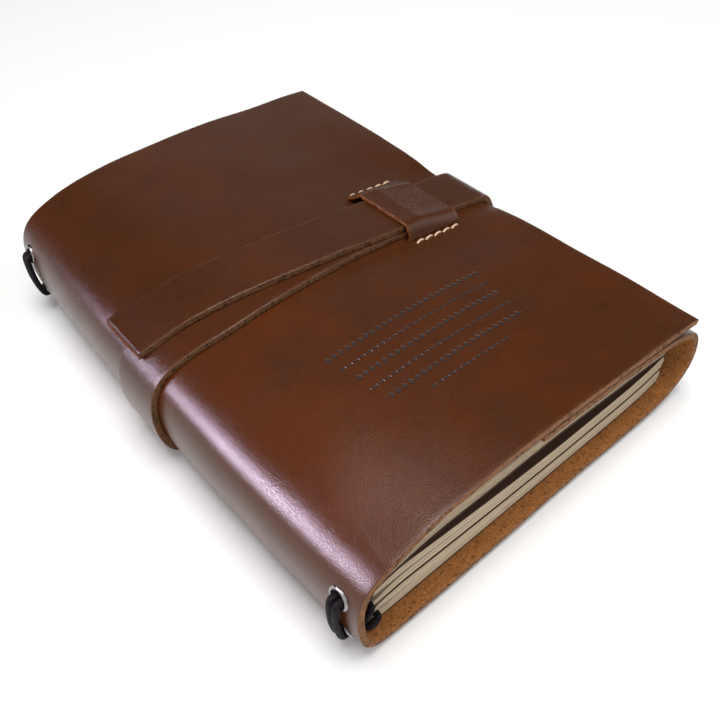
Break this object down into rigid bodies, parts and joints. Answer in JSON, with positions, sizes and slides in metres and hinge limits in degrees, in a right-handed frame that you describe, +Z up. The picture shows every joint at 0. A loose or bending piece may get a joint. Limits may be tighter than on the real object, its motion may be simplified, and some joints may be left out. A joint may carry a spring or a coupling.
{
  "type": "journal",
  "caption": "Refillable leather journal with a wrap-round strap through a stitched keeper, a tucked flap, nickel eyelets, elastic cords and stapled booklets",
  "frame": {"origin": "under the middle of the outline, on the face that the journal lies on", "axes": "+X from the spine to the fore-edge, +Y from tail to head, +Z up through the front cover"},
  "size_m": [0.143, 0.19, 0.0466],
  "materials": {
    "cover_leather": "pull-up",
    "strap_leather": "pull-up",
    "thread": "waxed",
    "nickel": "polished",
    "elastic": "braided",
    "card": "matte",
    "paper": "uncoated",
    "staple_wire": "plain"
  },
  "bodies": {
    "root": {"cover": "cover_leather", "strap": "strap_leather", "keeper": "cover_leather", "keeper_stitching_tail": "thread", "keeper_stitching_head": "thread", "eyelet_tail_upper": "nickel", "eyelet_tail_lower": "nickel", "eyelet_head_upper": "nickel", "eyelet_head_lower": "nickel", "elastic_outer": "elastic", "elastic_inner": "elastic", "booklet_1_card": "card", "booklet_1_pages": "paper", "booklet_1_staples": "staple_wire", "booklet_2_card": "card", "booklet_2_pages": "paper", "booklet_2_staples": "staple_wire", "booklet_3_card": "card", "booklet_3_pages": "paper", "booklet_3_staples": "staple_wire", "booklet_4_card": "card", "booklet_4_pages": "paper", "booklet_4_staples": "staple_wire"}
  },
  "joints": []
}
